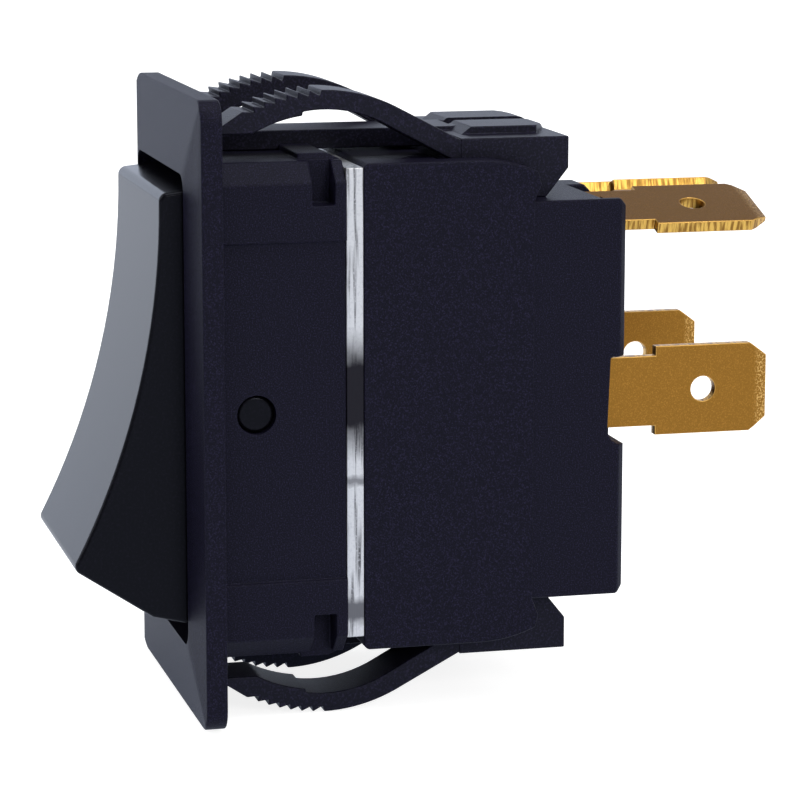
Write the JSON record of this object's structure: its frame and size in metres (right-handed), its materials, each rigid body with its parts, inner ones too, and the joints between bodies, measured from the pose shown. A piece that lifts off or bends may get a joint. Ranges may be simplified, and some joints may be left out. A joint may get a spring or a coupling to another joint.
{
  "type": "panel rocker switch",
  "caption": "Snap-in panel rocker switch, double-pole off-on, with a bezel, sprung toothed wings, see-saw contact levers and quick-connect blades.",
  "frame": {"origin": "middle of the bezel's back face, which seats on the panel", "axes": "+X is the width, +Y points from the panel face back to the terminals, +Z points to the rocker end that is pressed at rest"},
  "size_m": [0.0252, 0.05, 0.0434],
  "materials": {
    "frame_nylon": "fine matte grain",
    "rocker_nylon": "smooth satin",
    "plate_steel": "zinc-plated, sheared edges",
    "base_phenolic": "fine matte grain",
    "wing_nylon": "matte",
    "terminal_brass": "grainy rolled faces, bright sheared edges",
    "contact_silver": "plain silver",
    "lever_brass": "rolled strip",
    "plunger_acetal": "natural acetal",
    "spring_steel": "drawn wire"
  },
  "bodies": {
    "housing": {"bezel_frame": "frame_nylon", "mounting_plate": "plate_steel", "base": "base_phenolic", "wing_upper": "wing_nylon", "wing_lower": "wing_nylon", "centre_terminal_right": "terminal_brass", "centre_terminal_left": "terminal_brass", "upper_terminal_right": "terminal_brass", "upper_terminal_left": "terminal_brass", "fixed_contact_right": "contact_silver", "fixed_contact_left": "contact_silver"},
    "rocker": {"rocker": "rocker_nylon", "spring_right": "spring_steel", "spring_left": "spring_steel"},
    "plunger_right": {"plunger_right": "plunger_acetal"},
    "plunger_left": {"plunger_left": "plunger_acetal"},
    "lever_right": {"lever_right": "lever_brass", "moving_contact_right": "contact_silver"},
    "lever_left": {"lever_left": "lever_brass", "moving_contact_left": "contact_silver"}
  },
  "joints": [
    {"name": "rocker_tilt", "type": "hinge", "parent": "housing", "child": "rocker", "pos_m": [0, 0.0026, 0], "axis": [1, 0, 0], "range_deg": [0, 27.6]},
    {"name": "plunger_slide_right", "type": "slide", "parent": "rocker", "child": "plunger_right", "axis": [0, -0.9711, 0.2385], "range_m": [0, 0.0007], "stiffness_N_per_m": 800, "springref_m": -0.0015, "deforming": ["spring_right"]},
    {"name": "plunger_slide_left", "type": "slide", "parent": "rocker", "child": "plunger_left", "axis": [0, -0.9711, 0.2385], "range_m": [0, 0.0007], "stiffness_N_per_m": 800, "springref_m": -0.0015, "deforming": ["spring_left"]},
    {"name": "lever_tilt_right", "type": "hinge", "parent": "housing", "child": "lever_right", "pos_m": [0, 0.0174, 0], "axis": [1, 0, 0], "range_deg": [-13, 0]},
    {"name": "lever_tilt_left", "type": "hinge", "parent": "housing", "child": "lever_left", "pos_m": [0, 0.0174, 0], "axis": [1, 0, 0], "range_deg": [-13, 0]}
  ],
  "couplings": [
    {"joint": "lever_tilt_right", "follows": "rocker_tilt", "ratio": -0.471},
    {"joint": "lever_tilt_left", "follows": "rocker_tilt", "ratio": -0.471}
  ]
}
